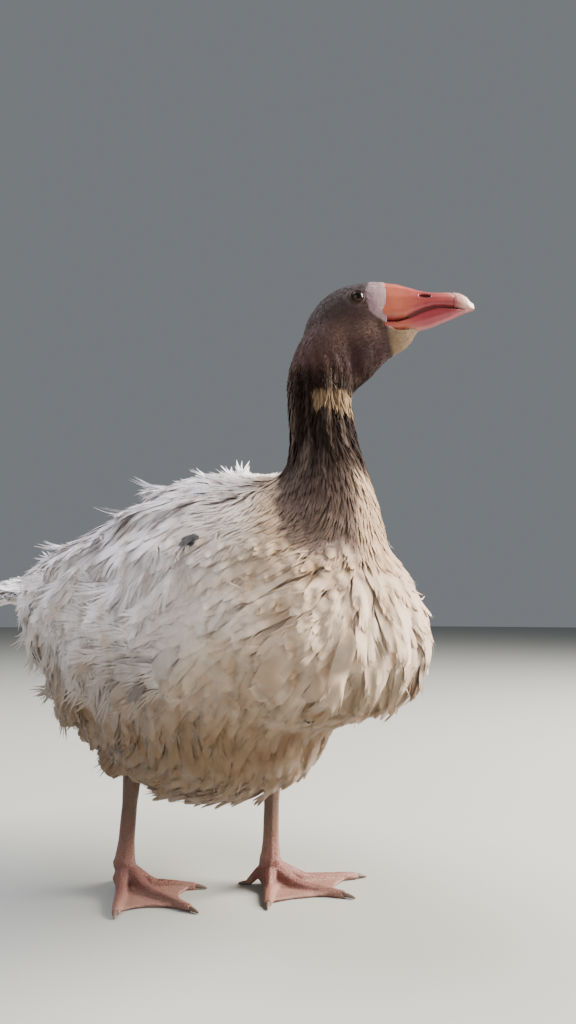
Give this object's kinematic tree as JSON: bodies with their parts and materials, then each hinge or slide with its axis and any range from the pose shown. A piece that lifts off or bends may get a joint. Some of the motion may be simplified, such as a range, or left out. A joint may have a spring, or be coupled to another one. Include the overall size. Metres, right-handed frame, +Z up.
{
  "type": "domestic goose",
  "caption": "Life-size standing model of a curly-feathered domestic goose, head turned to its left, white body, grey-brown head and neck, orange bill.",
  "frame": {"origin": "middle of the bounding box's base, at the level of the soles", "axes": "+X the way the breast faces, along the body from tail to breast; +Y the goose's left; +Z up"},
  "size_m": [0.6488, 0.3498, 0.6011],
  "materials": {
    "body_feathers": "soft white to cream feathers, matt",
    "neck_feathers": "furrowed grey-brown feathers, matt",
    "head_feathers": "short dense grey-brown feathers, matt",
    "bill_skin": "orange-pink waxy skin over horn, satin",
    "bill_nail": "pale pink horn, satin",
    "eye": "dark brown wet eye, glossy",
    "leg_skin": "pink-orange scaly skin, dull satin",
    "claw_horn": "dark worn horn, satin"
  },
  "bodies": {
    "root": {"trunk": "body_feathers", "wing_left": "body_feathers", "wing_right": "body_feathers", "tail": "body_feathers", "thigh_left": "body_feathers", "thigh_right": "body_feathers", "neck": "neck_feathers", "head": "head_feathers", "upper_bill": "bill_skin", "lower_bill": "bill_skin", "bill_nail": "bill_nail", "eye_left": "eye", "eye_right": "eye", "shank_left": "leg_skin", "shank_right": "leg_skin", "foot_left": "leg_skin", "foot_right": "leg_skin", "claw_left_inner": "claw_horn", "claw_left_middle": "claw_horn", "claw_left_outer": "claw_horn", "claw_left_hind": "claw_horn", "claw_right_inner": "claw_horn", "claw_right_middle": "claw_horn", "claw_right_outer": "claw_horn", "claw_right_hind": "claw_horn"}
  },
  "joints": []
}
